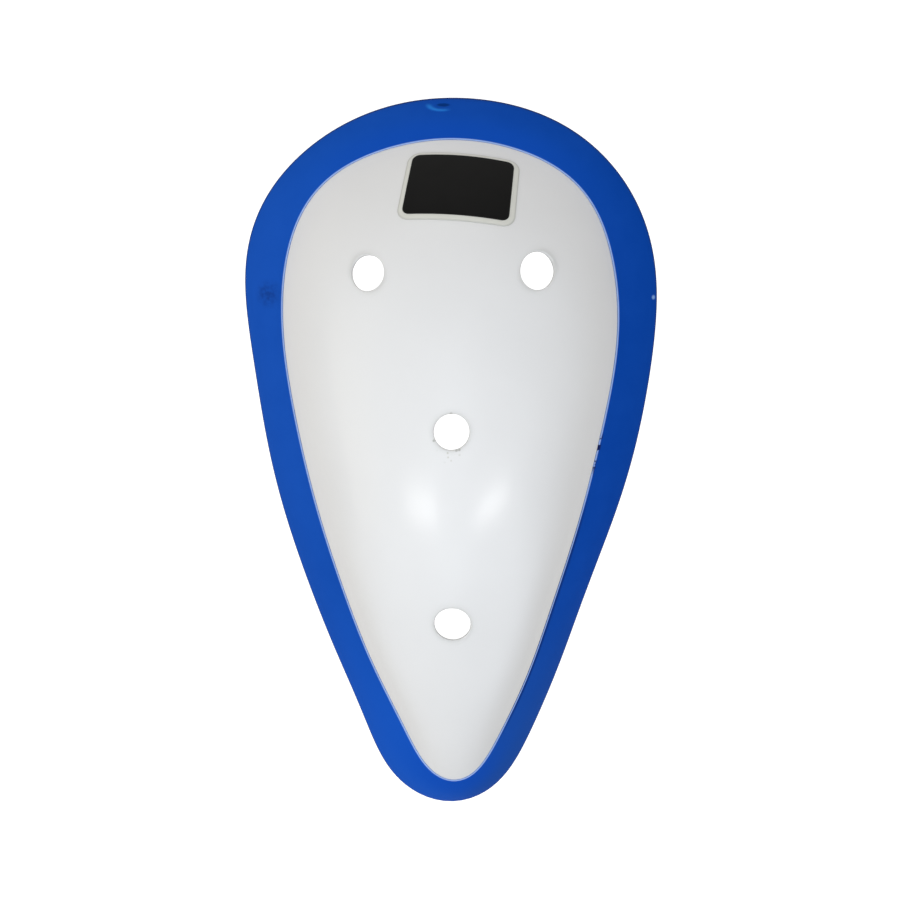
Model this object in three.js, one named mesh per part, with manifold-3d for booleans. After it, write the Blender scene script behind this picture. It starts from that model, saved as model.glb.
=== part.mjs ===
// Abdominal guard for cricket: a hard domed cup, a soft rim moulded round its edge and a badge near the waist.
// It lies on its rim. +Z comes out of the dome, +Y points to the wide waist end and the tip lies at -Y.
import * as THREE from 'three';
import { mergeVertices } from 'three/addons/utils/BufferGeometryUtils.js';
import Module from 'manifold-3d';

// Driving sizes, in millimetres
const SEAM_HALF_LENGTH = 82; // half the length of the seam, the line where the cup goes into the rim
const CUP_WALL = 2.4; // thickness of the cup
const CUP_TUCK = 4.5; // depth of the cup's edge inside the rim
const RIM_FACE = 11; // width of the rim's sloping front face
const RIM_BULGE = 0.5; // how far the middle of the front face swells
const RIM_EDGE = 3.6; // height of the rim's outer edge
const RIM_NOSE = 1.1; // rounding of the outer edge
const RIM_SEAT = 3; // width of the flat seat under the outer edge
const LIP_FRONT = 0.8; // height of the rim's front lip above the cup
const LIP_BACK = 1.8; // thickness of the rim's lip behind the cup
const LIP_DROP = 0.5; // how far the back lip stops below the seam
const FIT_GAP = 0.3; // clearance between neighbouring pieces
const VENT_DIAMETER = 9;
const VENT_LAND = 0.7; // depth of a vent's straight edge, inside which it opens out
const VENT_OPENING = 30; // slope of a vent's inside in degrees

// Stations along the seam, from the tip at -1 to the waist end at +1.
// spread: half width of the cup if the seam were a circle; rise: height of the dome over the seam, likewise;
// fullness: how full the cross section is; shoulder: how much fuller it is near the seam;
// flare: slope of the rim's face in degrees; lift: seat above the floor.
const STATIONS = [
  { along: -1.0, spread: 22.9, rise: 45.0, fullness: 1.6, shoulder: 0.0, flare: 46.0, lift: -0.3 },
  { along: -0.85, spread: 23.1, rise: 38.2, fullness: 1.7, shoulder: 1.6, flare: 44.5, lift: 0.1 },
  { along: -0.6, spread: 26.2, rise: 31.2, fullness: 0.9, shoulder: 2.4, flare: 43.0, lift: 2.2 },
  { along: -0.25, spread: 31.8, rise: 28.8, fullness: 0.5, shoulder: 1.4, flare: 40.0, lift: 4.4 },
  { along: 0.1, spread: 38.6, rise: 30.0, fullness: 0.5, shoulder: 0.8, flare: 35.0, lift: 3.2 },
  { along: 0.45, spread: 47.3, rise: 37.5, fullness: 0.4, shoulder: 1.3, flare: 28.5, lift: 0.2 },
  { along: 0.75, spread: 57.3, rise: 49.1, fullness: 0.6, shoulder: 0.7, flare: 24.5, lift: 0.2 },
  { along: 1.0, spread: 66.0, rise: 57.8, fullness: 0.0, shoulder: 0.4, flare: 25.0, lift: 2.2 },
];

// Vent centres, measured from the middle of the seam
const VENTS = [
  { x: -20.1, y: 49.9 },
  { x: 21.2, y: 50.4 },
  { x: 0.3, y: 12.1 },
  { x: 0.5, y: -36.2 },
];

// The badge: its centre, its turn and the sizes of its two layers when flat
const BADGE = { x: 2.25, y: 71.4, turnDegrees: -4.8 };
const BACKING = { width: 29.1, height: 22.0, corner: 3.2, bottom: FIT_GAP, top: 0.9 };
const PANEL = { width: 26.4, height: 19.3, corner: 1.9, bottom: BACKING.top + FIT_GAP, top: 1.6 };

// Fineness of the facets
const AROUND = 80;
const CUP_RINGS = [0.22, 0.42, 0.59, 0.73, 0.84, 0.92, 0.97, 1];
const BADGE_RINGS = [0.5, 1];
const CORNER_STEPS = 3;
const EDGE_STEPS = 4;
const VENT_SIDES = 24;
const WALK_STEPS = 12;
const PROBE = 0.01; // step for measuring slopes

// A smooth curve (natural cubic spline) through one column of the station table
function column(name) {
  const xs = STATIONS.map((row) => row.along);
  const ys = STATIONS.map((row) => row[name]);
  const last = xs.length - 1;
  const bend = new Array(last + 1).fill(0);
  const load = new Array(last + 1).fill(0);
  for (let i = 1; i < last; i++) {
    const share = (xs[i] - xs[i - 1]) / (xs[i + 1] - xs[i - 1]);
    const pivot = share * bend[i - 1] + 2;
    const turn = (ys[i + 1] - ys[i]) / (xs[i + 1] - xs[i]) - (ys[i] - ys[i - 1]) / (xs[i] - xs[i - 1]);
    bend[i] = (share - 1) / pivot;
    load[i] = ((6 * turn) / (xs[i + 1] - xs[i - 1]) - share * load[i - 1]) / pivot;
  }
  for (let i = last - 1; i > 0; i--) {
    bend[i] = bend[i] * bend[i + 1] + load[i];
  }
  bend[0] = 0;
  return (along) => {
    let i = 0;
    while (i < last - 1 && along > xs[i + 1]) i++;
    const step = xs[i + 1] - xs[i];
    const b = (along - xs[i]) / step;
    const a = 1 - b;
    const curve = ((a ** 3 - a) * bend[i] + (b ** 3 - b) * bend[i + 1]) * (step ** 2 / 6);
    return a * ys[i] + b * ys[i + 1] + curve;
  };
}

const spread = column('spread');
const rise = column('rise');
const fullness = column('fullness');
const shoulder = column('shoulder');
const flare = column('flare');
const lift = column('lift');

const flareAngle = (along) => THREE.MathUtils.degToRad(flare(along));
const seamHeight = (along) => lift(along) + RIM_FACE * Math.sin(flareAngle(along)) + RIM_EDGE;

// Height of the cup's outside over a point of the plan
function domeHeight(x, y) {
  const along = y / SEAM_HALF_LENGTH;
  const across = x / spread(along);
  const fuller = 1 + fullness(along) * across ** 2 + shoulder(along) * across ** 4;
  return seamHeight(along) + rise(along) * (1 - along ** 2 - across ** 2) * fuller;
}

// Slopes of the dome along x and y
function domeSlope(x, y) {
  const alongX = (domeHeight(x + PROBE, y) - domeHeight(x - PROBE, y)) / (2 * PROBE);
  const alongY = (domeHeight(x, y + PROBE) - domeHeight(x, y - PROBE)) / (2 * PROBE);
  return new THREE.Vector2(alongX, alongY);
}

function domeNormal(x, y) {
  const slope = domeSlope(x, y);
  return new THREE.Vector3(-slope.x, -slope.y, 1).normalize();
}

// A point that stands off the cup's outside by a distance along its normal
function domePoint(x, y, standOff) {
  return new THREE.Vector3(x, y, domeHeight(x, y)).addScaledVector(domeNormal(x, y), standOff);
}

// The seam in plan: turn 0 is the waist end, and the turn runs clockwise seen from above
function seamPlan(turn) {
  const along = Math.cos(turn);
  return new THREE.Vector2(spread(along) * Math.sin(turn), SEAM_HALF_LENGTH * along);
}

// The seam's frame: its point, its outward direction in plan, and the slopes of the cup and the rim there
function seamFrame(turn) {
  const plan = seamPlan(turn);
  const run = seamPlan(turn + PROBE).sub(seamPlan(turn - PROBE)).normalize();
  const out = new THREE.Vector2(-run.y, run.x);
  const along = Math.cos(turn);
  const cupAngle = Math.atan(-domeSlope(plan.x, plan.y).dot(out));
  const height = seamHeight(along);
  const seat = Math.max(lift(along), 0) - height;
  const place = ([n, z]) => new THREE.Vector3(plan.x + out.x * n, plan.y + out.y * n, height + z);
  return { plan, cupAngle, faceAngle: flareAngle(along), seat, place };
}

// A point of the section in the cup wall's own directions: down along the wall, and out from its outside
function wallPoint(angle, down, out) {
  return [
    down * Math.cos(angle) + out * Math.sin(angle),
    out * Math.cos(angle) - down * Math.sin(angle),
  ];
}

// A closed surface through rings that run outward over the top and back underneath.
// A ring of one point is a pole. With loop set, the last ring joins the first.
function skin(rings, loop = false) {
  const positions = rings.flat().flatMap((point) => point.toArray());
  const starts = [];
  let count = 0;
  for (const ring of rings) {
    starts.push(count);
    count += ring.length;
  }
  const index = [];
  const joins = loop ? rings.length : rings.length - 1;
  for (let i = 0; i < joins; i++) {
    const next = (i + 1) % rings.length;
    const here = (j) => starts[i] + (j % rings[i].length);
    const there = (j) => starts[next] + (j % rings[next].length);
    const columns = Math.max(rings[i].length, rings[next].length);
    for (let j = 0; j < columns; j++) {
      if (rings[next].length > 1) index.push(here(j), there(j + 1), there(j));
      if (rings[i].length > 1) index.push(here(j), here(j + 1), there(j + 1));
    }
  }
  const geometry = new THREE.BufferGeometry();
  geometry.setAttribute('position', new THREE.Float32BufferAttribute(positions, 3));
  geometry.setIndex(index);
  return geometry;
}

const turns = Array.from({ length: AROUND }, (_, j) => (2 * Math.PI * j) / AROUND);
const seam = turns.map(seamFrame);

// The cup: out over the dome, down into the rim, and back along the inside
function cupGeometry() {
  const sheet = (reach, standOff) => seam.map(({ plan }) => domePoint(plan.x * reach, plan.y * reach, standOff));
  const edge = (out) => seam.map((frame) => frame.place(wallPoint(frame.cupAngle, CUP_TUCK, out)));
  const outside = CUP_RINGS.map((reach) => sheet(reach, 0));
  const inside = CUP_RINGS.map((reach) => sheet(reach, -CUP_WALL)).reverse();
  return skin([
    [domePoint(0, 0, 0)],
    ...outside,
    edge(0),
    edge(-CUP_WALL),
    ...inside,
    [domePoint(0, 0, -CUP_WALL)],
  ]);
}

// The rim's section, as distances out from the seam and up from it
function rimSection({ cupAngle, faceAngle, seat }) {
  const lip = wallPoint(cupAngle, 0, LIP_FRONT);
  const corner = [RIM_FACE * Math.cos(faceAngle), -RIM_FACE * Math.sin(faceAngle)];
  const bulge = [RIM_BULGE * Math.sin(faceAngle), RIM_BULGE * Math.cos(faceAngle)];
  const middle = [(lip[0] + corner[0]) / 2 + bulge[0], (lip[1] + corner[1]) / 2 + bulge[1]];
  const noseIn = RIM_NOSE * Math.cos(faceAngle);
  const noseDown = RIM_NOSE * Math.sin(faceAngle);
  const behind = -CUP_WALL - LIP_BACK;
  return [
    lip,
    middle,
    [corner[0] - noseIn, corner[1] + noseDown],
    [corner[0], corner[1] - RIM_NOSE / 2],
    [corner[0], seat + RIM_NOSE],
    [corner[0] - RIM_NOSE, seat],
    [corner[0] - RIM_NOSE - RIM_SEAT, seat],
    wallPoint(cupAngle, CUP_TUCK, behind),
    wallPoint(cupAngle, LIP_DROP, behind),
    wallPoint(cupAngle, LIP_DROP, -CUP_WALL - FIT_GAP),
    wallPoint(cupAngle, CUP_TUCK + FIT_GAP, -CUP_WALL - FIT_GAP),
    wallPoint(cupAngle, CUP_TUCK + FIT_GAP, FIT_GAP),
    wallPoint(cupAngle, 0, FIT_GAP),
  ];
}

function rimGeometry() {
  const sections = seam.map((frame) => rimSection(frame).map(frame.place));
  const rings = sections[0].map((_, k) => sections.map((section) => section[k]));
  return skin(rings, true);
}

// A rounded rectangle, clockwise, as points with the same steps on each side
function roundedRectangle({ width, height, corner }) {
  const corners = [
    { x: 1, y: 1, from: 90 },
    { x: 1, y: -1, from: 0 },
    { x: -1, y: -1, from: -90 },
    { x: -1, y: 1, from: -180 },
  ];
  const points = corners.flatMap(({ x, y, from }) =>
    Array.from({ length: CORNER_STEPS + 1 }, (_, i) => {
      const angle = THREE.MathUtils.degToRad(from - (90 * i) / CORNER_STEPS);
      const centre = new THREE.Vector2(x * (width / 2 - corner), y * (height / 2 - corner));
      return centre.add(new THREE.Vector2(Math.cos(angle), Math.sin(angle)).multiplyScalar(corner));
    })
  );
  return points.flatMap((point, i) => {
    const next = points[(i + 1) % points.length];
    const straight = (i + 1) % (CORNER_STEPS + 1) === 0;
    const steps = straight ? EDGE_STEPS : 1;
    return Array.from({ length: steps }, (_, k) => point.clone().lerp(next, k / steps));
  });
}

// A walk straight ahead over the dome, in short steps that are each put back on its surface
function walk(start, heading, length) {
  const here = start.clone();
  const ahead = heading.clone();
  for (let i = 0; i < WALK_STEPS; i++) {
    here.addScaledVector(ahead, length / WALK_STEPS);
    here.z = domeHeight(here.x, here.y);
    const normal = domeNormal(here.x, here.y);
    ahead.addScaledVector(normal, -ahead.dot(normal)).normalize();
  }
  return { here, ahead };
}

// Where a point of the flat badge comes to lie: the sheet bends but does not stretch
function badgePoint(flat, standOff) {
  const turn = THREE.MathUtils.degToRad(BADGE.turnDegrees);
  const middle = domePoint(BADGE.x, BADGE.y, 0);
  const heading = new THREE.Vector3(-Math.sin(turn), Math.cos(turn), 0);
  heading.projectOnPlane(domeNormal(BADGE.x, BADGE.y)).normalize();
  const climb = walk(middle, heading, flat.y);
  const sideways = climb.ahead.cross(domeNormal(climb.here.x, climb.here.y));
  const { here } = walk(climb.here, sideways, flat.x);
  return domePoint(here.x, here.y, standOff);
}

// One layer of the badge, laid on the dome between two heights above it
function badgeGeometry(layer) {
  const outline = roundedRectangle(layer);
  const ring = (reach, standOff) => outline.map((point) => badgePoint(point.clone().multiplyScalar(reach), standOff));
  const centre = new THREE.Vector2();
  return skin([
    [badgePoint(centre, layer.top)],
    ...BADGE_RINGS.map((reach) => ring(reach, layer.top)),
    ...[...BADGE_RINGS].reverse().map((reach) => ring(reach, layer.bottom)),
    [badgePoint(centre, layer.bottom)],
  ]);
}

// Two round cutters that stand square to the dome at a vent: a straight one, and one that opens out inside
function ventCutters({ x, y }) {
  const reach = 3 * CUP_WALL;
  const radius = VENT_DIAMETER / 2;
  const inside = radius + reach * Math.tan(THREE.MathUtils.degToRad(VENT_OPENING));
  const straight = new THREE.CylinderGeometry(radius, radius, 2 * reach, VENT_SIDES);
  const opening = new THREE.CylinderGeometry(radius, inside, reach, VENT_SIDES);
  opening.translate(0, -VENT_LAND - reach / 2, 0);
  const stand = new THREE.Quaternion().setFromUnitVectors(new THREE.Vector3(0, 1, 0), domeNormal(x, y));
  const centre = domePoint(x, y, 0);
  return [straight, opening].map((cutter) =>
    cutter.applyQuaternion(stand).translate(centre.x, centre.y, centre.z)
  );
}

// Cutting one closed mesh out of another
const wasm = await Module();
wasm.setup();

function solid(geometry) {
  const bare = geometry.clone();
  bare.deleteAttribute('normal');
  bare.deleteAttribute('uv');
  const merged = mergeVertices(bare);
  return new wasm.Manifold(
    new wasm.Mesh({
      numProp: 3,
      vertProperties: new Float32Array(merged.attributes.position.array),
      triVerts: new Uint32Array(merged.index.array),
    })
  );
}

function geometryOf(body) {
  const mesh = body.getMesh();
  const geometry = new THREE.BufferGeometry();
  geometry.setAttribute('position', new THREE.Float32BufferAttribute(mesh.vertProperties, 3));
  geometry.setIndex(Array.from(mesh.triVerts));
  return geometry;
}

function pierced(geometry, cutters) {
  return geometryOf(cutters.reduce((body, cutter) => body.subtract(solid(cutter)), solid(geometry)));
}

function piece(name, geometry, color, roughness) {
  geometry.computeVertexNormals();
  const mesh = new THREE.Mesh(geometry, new THREE.MeshStandardMaterial({ color, roughness, metalness: 0 }));
  mesh.name = name;
  return mesh;
}

// The assembly, moved so that the middle of its length lies over the origin
const guard = new THREE.Group();
guard.add(piece('shell', pierced(cupGeometry(), VENTS.flatMap(ventCutters)), 0xe7eaed, 0.35));
guard.add(piece('rim', rimGeometry(), 0x1c50ae, 0.5));
guard.add(piece('badge_backing', badgeGeometry(BACKING), 0xc6c5c0, 0.5));
guard.add(piece('badge_panel', badgeGeometry(PANEL), 0x212120, 0.45));
guard.position.y = -new THREE.Box3().setFromObject(guard).getCenter(new THREE.Vector3()).y;

export default guard;
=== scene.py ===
# %% [markdown]
# # An abdominal guard for cricket
#
# The real guard is a hard white cup moulded in polypropylene. A soft blue vinyl rim is moulded
# round its edge, four vents pierce it, and a small badge is stuck near its waist end. The CAD
# model gives the sizes and the frame. This lesson lays smooth surfaces over it, gives them their
# finish, and lights them as a studio photograph would.

# %% The CAD model as a fixed frame
import math
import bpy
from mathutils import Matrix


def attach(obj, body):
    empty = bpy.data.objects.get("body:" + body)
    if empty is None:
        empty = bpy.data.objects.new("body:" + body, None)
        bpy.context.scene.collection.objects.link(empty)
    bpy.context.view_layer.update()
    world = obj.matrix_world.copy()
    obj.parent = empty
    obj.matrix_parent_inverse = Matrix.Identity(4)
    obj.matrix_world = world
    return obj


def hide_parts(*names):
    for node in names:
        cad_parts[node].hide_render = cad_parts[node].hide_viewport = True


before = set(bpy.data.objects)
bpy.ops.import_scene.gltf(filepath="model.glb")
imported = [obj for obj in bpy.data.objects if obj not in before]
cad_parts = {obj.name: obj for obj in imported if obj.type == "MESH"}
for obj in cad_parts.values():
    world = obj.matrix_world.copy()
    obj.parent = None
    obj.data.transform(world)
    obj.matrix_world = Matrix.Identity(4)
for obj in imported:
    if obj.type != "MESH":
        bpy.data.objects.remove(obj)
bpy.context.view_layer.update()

from types import SimpleNamespace

import bpy
import numpy as np
from mathutils import Matrix, Vector

# %% [markdown]
# ## The sizes of the guard
#
# The cup's edge is hidden in the rim, so the line that the eye follows is the seam between white
# and blue. Every form here is measured from that seam. The same few sizes and the same table of
# stations drive the CAD solids, so the smooth surfaces fall on them. The table could be replaced
# by a traced outline, but a row for each station says what the form does: how wide it spreads,
# how high it rises, how square it is and how the rim leans.

# %% Sizes in metres and the table of stations
MM = 0.001
SEAM_HALF_LENGTH = 82 * MM
CUP_WALL = 2.4 * MM
CUP_TUCK = 4.5 * MM
RIM_FACE = 11 * MM
RIM_BULGE = 0.5 * MM
RIM_EDGE = 3.6 * MM
RIM_NOSE = 1.1 * MM
RIM_SEAT = 3 * MM
LIP_BACK = 1.8 * MM
LIP_DROP = 0.5 * MM
BOND_GAP = 0.04 * MM

# along the seam from tip to waist, spread and rise in mm, fullness, shoulder, flare in degrees,
# lift in mm
STATIONS = np.array([
    (-1.00, 22.9, 45.0, 1.6, 0.0, 46.0, -0.3),
    (-0.85, 23.1, 38.2, 1.7, 1.6, 44.5, 0.1),
    (-0.60, 26.2, 31.2, 0.9, 2.4, 43.0, 2.2),
    (-0.25, 31.8, 28.8, 0.5, 1.4, 40.0, 4.4),
    (0.10, 38.6, 30.0, 0.5, 0.8, 35.0, 3.2),
    (0.45, 47.3, 37.5, 0.4, 1.3, 28.5, 0.2),
    (0.75, 57.3, 49.1, 0.6, 0.7, 24.5, 0.2),
    (1.00, 66.0, 57.8, 0.0, 0.4, 25.0, 2.2),
])


def curve_through(stations, values):
    """A natural cubic spline: the bends at the stations solve one set of linear equations, and both
    ends are straight. Between two stations the value is their weighted mean plus a cubic share of
    the two bends."""
    steps = np.diff(stations)
    inner = np.arange(1, len(stations) - 1)
    system = np.eye(len(stations))
    system[inner, inner - 1] = steps[:-1]
    system[inner, inner] = 2 * (steps[:-1] + steps[1:])
    system[inner, inner + 1] = steps[1:]
    turn = np.zeros(len(stations))
    turn[inner] = 6 * np.diff(np.diff(values) / steps)
    bend = np.linalg.solve(system, turn)

    def curve(along):
        k = np.clip(np.searchsorted(stations, along) - 1, 0, len(steps) - 1)
        b = (along - stations[k]) / steps[k]
        a = 1 - b
        cubic = ((a**3 - a) * bend[k] + (b**3 - b) * bend[k + 1]) * steps[k] ** 2 / 6
        return a * values[k] + b * values[k + 1] + cubic

    return curve


spread = curve_through(STATIONS[:, 0], STATIONS[:, 1] * MM)
rise = curve_through(STATIONS[:, 0], STATIONS[:, 2] * MM)
fullness = curve_through(STATIONS[:, 0], STATIONS[:, 3])
shoulder = curve_through(STATIONS[:, 0], STATIONS[:, 4])
flare = curve_through(STATIONS[:, 0], np.radians(STATIONS[:, 5]))
lift = curve_through(STATIONS[:, 0], STATIONS[:, 6] * MM)

# the rim reaches further out at the waist than at the tip, so the seam's middle is off the origin
SEAM_Y = -RIM_FACE * (math.cos(flare(1.0)) - math.cos(flare(-1.0))) / 2
print("seam's middle at y =", round(SEAM_Y / MM, 2), "mm")

# %% [markdown]
# ## The dome
#
# A moulded cup has no flat and no corner, so its height is one formula over the plan. The plan is
# a round disc that each station stretches to its own width, which turns the disc into a pear.
# Over the disc stands a paraboloid, made squarer across by the fullness. Sculpting or a
# subdivided cage would need many points to stay this fair.

# %% Height, normal and points of the dome
PROBE = 0.01 * MM


def seam_height(along):
    """Seat's lift, plus the drop of the rim's face, plus the height of its outer edge."""
    return lift(along) + RIM_FACE * np.sin(flare(along)) + RIM_EDGE


def dome_height(x, y):
    """Seam height plus rise times (1 - along squared - across squared), made fuller by two even
    powers of across."""
    along = (y - SEAM_Y) / SEAM_HALF_LENGTH
    across = x / spread(along)
    fuller = 1 + fullness(along) * across**2 + shoulder(along) * across**4
    return seam_height(along) + rise(along) * (1 - along**2 - across**2) * fuller


def dome_slope(x, y):
    """Slopes along x and y, each as a central difference."""
    along_x = (dome_height(x + PROBE, y) - dome_height(x - PROBE, y)) / (2 * PROBE)
    along_y = (dome_height(x, y + PROBE) - dome_height(x, y - PROBE)) / (2 * PROBE)
    return along_x, along_y


def dome_normal(x, y):
    """The unit vector along (-slope in x, -slope in y, 1)."""
    along_x, along_y = dome_slope(x, y)
    normal = np.stack([-along_x, -along_y, np.ones_like(along_x)], axis=-1)
    return normal / np.linalg.norm(normal, axis=-1, keepdims=True)


def on_dome(x, y):
    """The point of the dome over a point of the plan."""
    return np.stack([x, y, dome_height(x, y)], axis=-1)


crown = dome_height(0.0, np.linspace(-50, 50, 201) * MM).max()
print("top of the dome:", round(float(crown) / MM, 1), "mm")

# %% [markdown]
# ## The seam and its frame
#
# The rim and the hidden edge of the cup are profiles carried along the seam. At each point of it
# the profile stands in an upright plane that looks straight outward in plan. There the cup
# arrives at its own slope, and the rim's face leaves at the flare. A Bevel object on a curve
# could carry one fixed profile, but not one that leans as it goes. On this guard the seam and the
# outer edge are uneven by fractions of a millimetre. A few waves round it follow that more
# smoothly than noise, and they shift the wall in plan, so that the seam keeps its height.

# %% The seam as whole arrays
TURN_STEP = 0.001
SEAM_SET = -0.31 * MM
SWAY_POWER = 6

# waves round the seam, how far each moves the seam in mm, turn of its crest in degrees,
# and the same two for the outer edge
WANDER = np.array([
    (1, 0.05, 65, 0.15, 161),
    (2, 0.36, -48, 0.18, 42),
    (3, 0.25, 32, 0.15, -54),
    (4, 0.18, -27, 0.10, -29),
    (5, 0.10, 26, 0.12, 11),
    (6, 0.07, 18, 0.27, 20),
    (7, 0.14, 24, 0.22, 0),
    (8, 0.07, -22, 0.07, -9),
    (10, 0.05, -5, 0.12, -15),
    (11, 0.12, 1, 0.01, 2),
])


def seam_plan(turn):
    """Turn 0 is the waist end: x is the spread times the sine, y is the half length times the cosine."""
    along = np.cos(turn)
    return np.stack([spread(along) * np.sin(turn), SEAM_Y + SEAM_HALF_LENGTH * along], axis=-1)


def seam_out(turn):
    """The unit vector in plan that looks outward, square to the seam."""
    run = seam_plan(turn + TURN_STEP) - seam_plan(turn - TURN_STEP)
    out = np.stack([-run[..., 1], run[..., 0]], axis=-1)
    return out / np.linalg.norm(out, axis=-1, keepdims=True)


def wander(turn, sizes, crests):
    """The sum of cosine waves, each with its own size and the turn of its crest."""
    return (sizes * MM * np.cos(WANDER[:, 0] * (turn[..., None] - np.radians(crests)))).sum(axis=-1)


def seam_shift(turn):
    """How far out of its even line the seam lies."""
    return SEAM_SET + wander(turn, WANDER[:, 1], WANDER[:, 2])


def lay(x, y, stand_off):
    """A point of the dome, moved off it along the normal, and shifted in plan as the nearest seam is.
    The shift falls off as a high power of the distance from the middle, counted so that the seam
    is at one."""
    x, y, stand_off = np.broadcast_arrays(x, y, stand_off)
    along = (y - SEAM_Y) / SEAM_HALF_LENGTH
    across = x / spread(along)
    turn = np.arctan2(across, along)
    sway = seam_shift(turn) * np.hypot(along, across) ** SWAY_POWER
    points = on_dome(x, y) + dome_normal(x, y) * stand_off[..., None]
    points[..., :2] += seam_out(turn) * sway[..., None]
    return points


def seam_frame(turn):
    """Plan point, line that the seam really takes, outward direction, slope of the cup, slope of the
    rim's face, height, and drop to the seat."""
    plan = seam_plan(turn)
    out = seam_out(turn)
    slope = np.stack(dome_slope(plan[:, 0], plan[:, 1]), axis=-1)
    height = seam_height(np.cos(turn))
    return SimpleNamespace(
        turn=turn,
        plan=plan,
        line=plan + out * seam_shift(turn)[:, None],
        out=out,
        cup_angle=np.arctan(-(slope * out).sum(axis=-1)),
        face_angle=flare(np.cos(turn)),
        height=height,
        seat=np.maximum(lift(np.cos(turn)), 0) - height,
    )


def place(seam, section):
    """Section points, as (distance out, distance up), carried to the seam's own planes."""
    outward, upward = section
    plan = seam.line + seam.out * outward[..., None]
    return np.concatenate([plan, (seam.height + upward)[..., None]], axis=-1)


def wall_point(seam, down, out):
    """A section point in the cup wall's own directions: down along the wall, and out from its outside."""
    outward = down * np.cos(seam.cup_angle) + out * np.sin(seam.cup_angle)
    upward = out * np.cos(seam.cup_angle) - down * np.sin(seam.cup_angle)
    return np.stack([outward, upward])


# %% [markdown]
# ## From grids to meshes
#
# Each surface comes as rows and columns of points. Faces join neighbours in the grid, grids that
# share an edge are welded by comparing rounded places, and the mesh then holds every point once.
# Blender could merge doubles itself, but doing it on whole arrays keeps the order known and the
# script quick.

# %% Grids, welding and objects
WELD = 1e-7


def grid_faces(rows, columns, loop_rows=False, loop_columns=True, first=0):
    """Four corners for each cell of a grid whose points are numbered row by row."""
    i = np.arange(rows if loop_rows else rows - 1)[:, None]
    j = np.arange(columns if loop_columns else columns - 1)[None, :]
    here, there = i * columns, ((i + 1) % rows) * columns
    after = (j + 1) % columns
    return np.stack([here + j, here + after, there + after, there + j], axis=-1) + first


def welded(points, faces):
    """Points at the same place become one, and points that no face uses are left out. Tells which
    points stay."""
    used, faces = np.unique(faces, return_inverse=True)
    keys = np.round(points[used] / WELD).astype(np.int64)
    _, first, twin = np.unique(keys, axis=0, return_index=True, return_inverse=True)
    stay = used[first]
    return points[stay], twin.reshape(-1)[faces].reshape(-1, 4), stay


def polygons(faces):
    """Quads, with a repeated corner dropped where a pole has made a triangle of one."""
    doubled = (faces == np.roll(faces, -1, axis=1)).any(axis=1)
    triangles = [list(dict.fromkeys(corners)) for corners in faces[doubled].tolist()]
    return faces[~doubled].tolist() + [corners for corners in triangles if len(corners) == 3]


def make_piece(name, node, slot, points, faces, **values):
    """A smooth-shaded closed mesh in the row frame that replaces a CAD node and rides on its body.
    Each further value is an array with one number for each point, which the piece keeps as an
    attribute for its material to read."""
    points, faces, stay = welded(points, faces)
    mesh = bpy.data.meshes.new(name)
    mesh.from_pydata(points.tolist(), [], polygons(faces))
    mesh.polygons.foreach_set("use_smooth", np.ones(len(mesh.polygons), dtype=bool))
    for attribute, numbers in values.items():
        numbers = numbers.reshape(-1)[stay].astype(np.float32)
        mesh.attributes.new(attribute, "FLOAT", "POINT").data.foreach_set("value", numbers)
    triangles = np.concatenate([faces[:, [0, 1, 2]], faces[:, [0, 2, 3]]])
    a, b, c = (points[triangles[:, k]] for k in range(3))
    volume = (np.cross(a, b) * c).sum() / 6
    if volume < 0:
        mesh.flip_normals()
    mesh.update()
    piece = bpy.data.objects.new(name, mesh)
    bpy.context.scene.collection.objects.link(piece)
    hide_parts(node)
    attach(piece, "root")
    print(name, len(points), "points,", round(abs(volume) * 1e6, 2), "cm3")
    return piece


# %% [markdown]
# ## The vents
#
# Four holes of about 9 mm let sweat out. They stand square to the dome, their edges are just
# broken, and since they were trimmed by hand none is a perfect circle. A boolean would cut them
# in one line, but it leaves long thin faces that spoil the gloss. Here the middle vent is the hub
# of the cup's grid, and each of the others takes the place of a block of cells, joined to it by a
# ring of quads.

# %% Vent sizes and rings
VENT_FILLET = 0.3 * MM
VENT_LAND = 0.7 * MM
VENT_OPENING = math.radians(30)
FILLET_STEPS = 5


def vent(x, y, radius, stretch, axis):
    """A vent's centre on the dome with two directions across it, its radius, and how far and which
    way it is oval."""
    x, y = x * MM, y * MM + SEAM_Y
    normal = dome_normal(np.array(x), np.array(y))
    across = np.cross([0.0, 1.0, 0.0], normal)
    across /= np.linalg.norm(across)
    return SimpleNamespace(
        x=x,
        y=y,
        across=across,
        up=np.cross(normal, across),
        radius=radius * MM,
        stretch=stretch * MM,
        axis=math.radians(axis),
    )


LEFT_VENT = vent(-20.4, 49.85, 4.47, 0.20, -59)
RIGHT_VENT = vent(21.45, 50.4, 4.80, 0.37, 49)
MIDDLE_VENT = vent(0.24, 11.9, 4.39, 0.03, 40)
TIP_VENT = vent(0.47, -36.6, 4.50, 0.11, -27)
BLOCK_VENTS = [LEFT_VENT, RIGHT_VENT, TIP_VENT]
ALL_VENTS = [MIDDLE_VENT, *BLOCK_VENTS]


def bearing(hole, x, y):
    """Angle and distance of plan points round a vent, in the plane that touches the dome there."""
    sideways = (x - hole.x) / hole.across[0]
    upward = (y - hole.y - sideways * hole.across[1]) / hole.up[1]
    return np.arctan2(upward, sideways), np.hypot(upward, sideways)


def oval(hole, angle):
    """The vent's own radius at an angle: its mean radius and one wave with two crests."""
    return hole.radius + hole.stretch * np.cos(2 * (angle - hole.axis))


def vent_plan(hole, angle, wider):
    """The vent's oval in the touching plane, made wider all round and seen in plan."""
    reach = oval(hole, angle) + wider
    x = hole.x + reach * (np.cos(angle) * hole.across[0] + np.sin(angle) * hole.up[0])
    y = hole.y + reach * (np.cos(angle) * hole.across[1] + np.sin(angle) * hole.up[1])
    return x, y


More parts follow.
